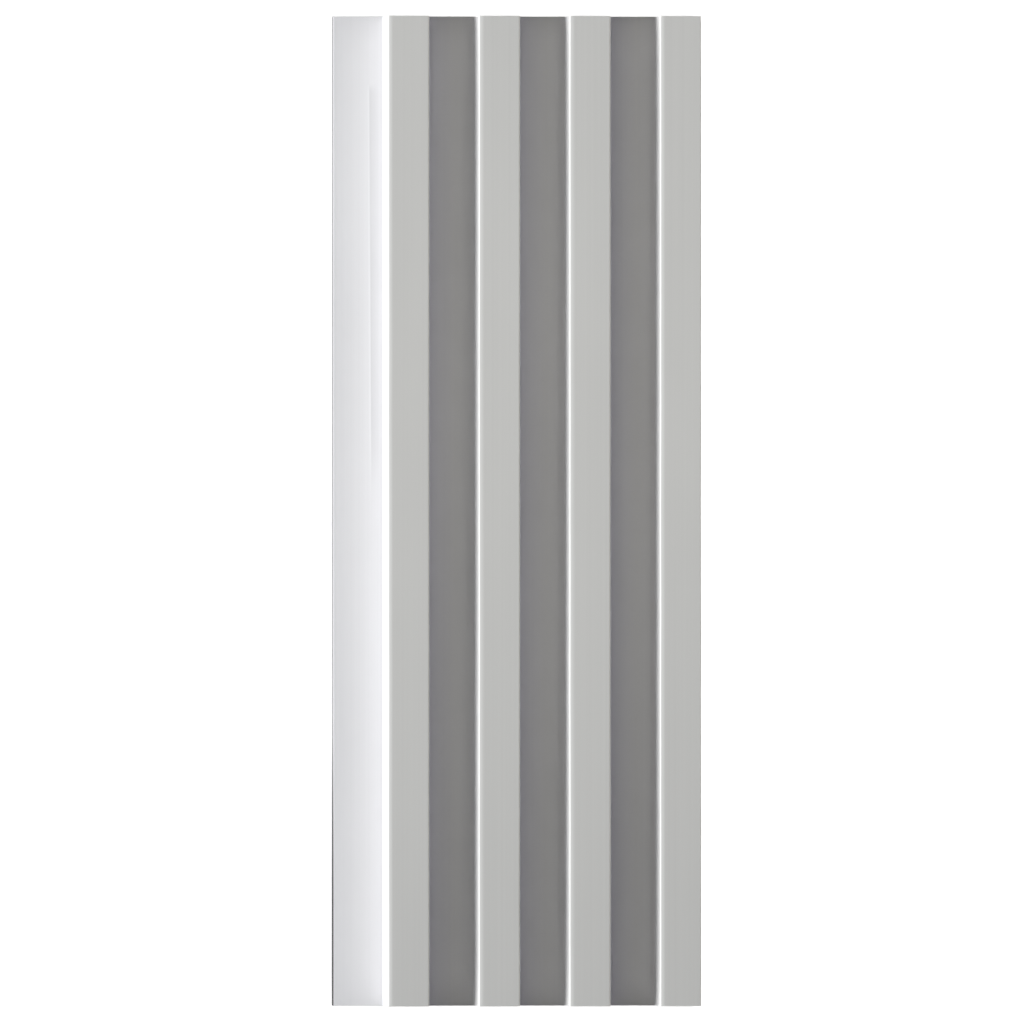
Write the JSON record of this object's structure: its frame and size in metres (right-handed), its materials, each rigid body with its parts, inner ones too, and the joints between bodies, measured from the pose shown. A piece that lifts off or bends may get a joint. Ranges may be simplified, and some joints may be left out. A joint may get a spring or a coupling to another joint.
{
  "type": "fluted wall panel",
  "caption": "Short length of hollow extruded wall panel with flat-topped ribs, deep grooves, a lap flange on one side and a matching rebate under the rib on the other.",
  "frame": {"origin": "middle of the back, on the plane that lies on the floor or wall", "axes": "+Z out of the back towards the rib tops, +Y along the ribs, -X towards the lap flange"},
  "size_m": [0.1625, 0.436, 0.024],
  "materials": {
    "panel_skin": "satin"
  },
  "bodies": {
    "root": {"fluted_panel": "panel_skin"}
  },
  "joints": []
}
